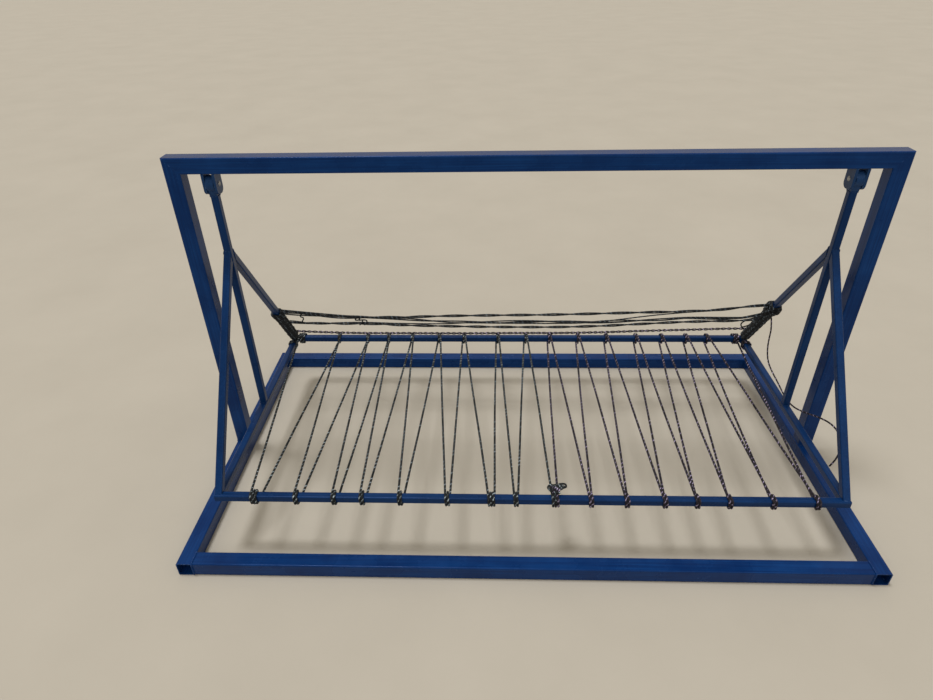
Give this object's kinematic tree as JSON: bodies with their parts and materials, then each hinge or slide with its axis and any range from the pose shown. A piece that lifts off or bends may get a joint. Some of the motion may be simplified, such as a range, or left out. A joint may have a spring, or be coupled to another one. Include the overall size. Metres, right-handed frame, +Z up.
{
  "type": "swinging cradle",
  "caption": "Baby cradle: a square-tube floor stand with a swinging tube bed hung from end pivots, rope-laced floor and rope guards along its rear side.",
  "frame": {"origin": "on the floor under the middle of the stand, at the bottom centre of the bounding box", "axes": "+X along the cradle's length to the right as seen from its front, +Y from the front to the rear side with the rope guards, +Z up"},
  "size_m": [1.1, 0.61, 0.575],
  "materials": {
    "stand_paint": "satin",
    "swing_paint": "satin",
    "pivot_paint": "satin",
    "pin_steel": "satin",
    "purple_rope": "matte",
    "teal_rope": "matte"
  },
  "bodies": {
    "stand": {"base_rail_front": "stand_paint", "base_rail_left": "stand_paint", "base_rail_rear": "stand_paint", "base_rail_right": "stand_paint", "bracket_plate_left_inner": "pivot_paint", "bracket_plate_left_outer": "pivot_paint", "bracket_plate_right_inner": "pivot_paint", "bracket_plate_right_outer": "pivot_paint", "pivot_pin_left": "pin_steel", "pivot_pin_right": "pin_steel", "post_left": "stand_paint", "post_right": "stand_paint", "top_rail": "stand_paint"},
    "bed": {"barrel_left": "pivot_paint", "barrel_right": "pivot_paint", "bed_lacing": "purple_rope", "bed_rail_front": "swing_paint", "bed_rail_left": "swing_paint", "bed_rail_rear": "swing_paint", "bed_rail_right": "swing_paint", "front_leg_left": "swing_paint", "front_leg_right": "swing_paint", "guard_rope_bottom": "purple_rope", "guard_rope_low": "teal_rope", "guard_rope_middle": "teal_rope", "guard_rope_top": "teal_rope", "hanger_left": "swing_paint", "hanger_right": "swing_paint", "leg_binding_left": "teal_rope", "leg_binding_right": "purple_rope", "rear_leg_left": "swing_paint", "rear_leg_right": "swing_paint", "rear_tie": "purple_rope", "rope_tail": "purple_rope", "tie_off_bow": "purple_rope"}
  },
  "joints": [
    {"name": "swing", "type": "hinge", "parent": "stand", "child": "bed", "pos_m": [0, 0, 0.5325], "axis": [1, 0, 0], "range_deg": [-45, 45]}
  ]
}
